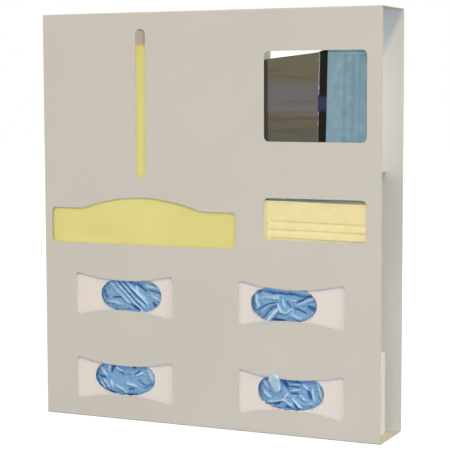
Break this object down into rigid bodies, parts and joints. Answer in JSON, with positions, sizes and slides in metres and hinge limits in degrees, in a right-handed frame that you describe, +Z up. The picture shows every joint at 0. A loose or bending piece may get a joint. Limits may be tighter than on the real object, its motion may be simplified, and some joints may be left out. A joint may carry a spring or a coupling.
{
  "type": "protective apparel dispenser",
  "caption": "Wall dispenser of folded sheet steel with bays and front windows for folded gowns, face masks, visor masks and glove cartons.",
  "frame": {"origin": "middle of the cabinet's foot, on the surface it stands on", "axes": "+X to the right of someone who faces the front, -Y out of the front, +Y into the wall, +Z up"},
  "size_m": [0.586, 0.101, 0.66],
  "materials": {
    "powder_coat": "satin",
    "carton_card": "matte",
    "nitrile": "matte",
    "gown_cloth": "matte",
    "yellow_mask_cloth": "matte",
    "blue_mask_cloth": "matte",
    "glare_strip": "matte",
    "clear_film": "gloss",
    "white_card": "matte"
  },
  "bodies": {
    "root": {"front_shell": "powder_coat", "back_panel": "powder_coat", "glove_shelf": "powder_coat", "middle_shelf": "powder_coat", "mask_shelf": "powder_coat", "bay_divider": "powder_coat", "glove_divider_lower": "powder_coat", "glove_divider_upper": "powder_coat", "visor_card": "white_card", "glove_carton_lower_right": "carton_card", "gloves_lower_right": "nitrile", "glove_carton_upper_right": "carton_card", "gloves_upper_right": "nitrile", "glove_carton_upper_left": "carton_card", "gloves_upper_left": "nitrile", "glove_carton_lower_left": "carton_card", "gloves_lower_left": "nitrile", "gown_1": "gown_cloth", "gown_2": "gown_cloth", "gown_3": "gown_cloth", "gown_4": "gown_cloth", "gown_5": "gown_cloth", "gown_6": "gown_cloth", "pleated_mask_1": "yellow_mask_cloth", "pleated_mask_2": "yellow_mask_cloth", "pleated_mask_3": "yellow_mask_cloth", "pleated_mask_4": "yellow_mask_cloth", "pleated_mask_5": "yellow_mask_cloth", "pleated_mask_6": "yellow_mask_cloth", "pleated_mask_7": "yellow_mask_cloth", "pleated_mask_8": "yellow_mask_cloth", "pleated_mask_9": "yellow_mask_cloth", "pleated_mask_10": "yellow_mask_cloth", "visor_mask_1": "blue_mask_cloth", "visor_strip_1": "glare_strip", "visor_film_1": "clear_film", "visor_mask_2": "blue_mask_cloth", "visor_strip_2": "glare_strip", "visor_film_2": "clear_film", "visor_mask_3": "blue_mask_cloth", "visor_strip_3": "glare_strip", "visor_film_3": "clear_film", "visor_mask_4": "blue_mask_cloth", "visor_strip_4": "glare_strip", "visor_film_4": "clear_film"}
  },
  "joints": []
}
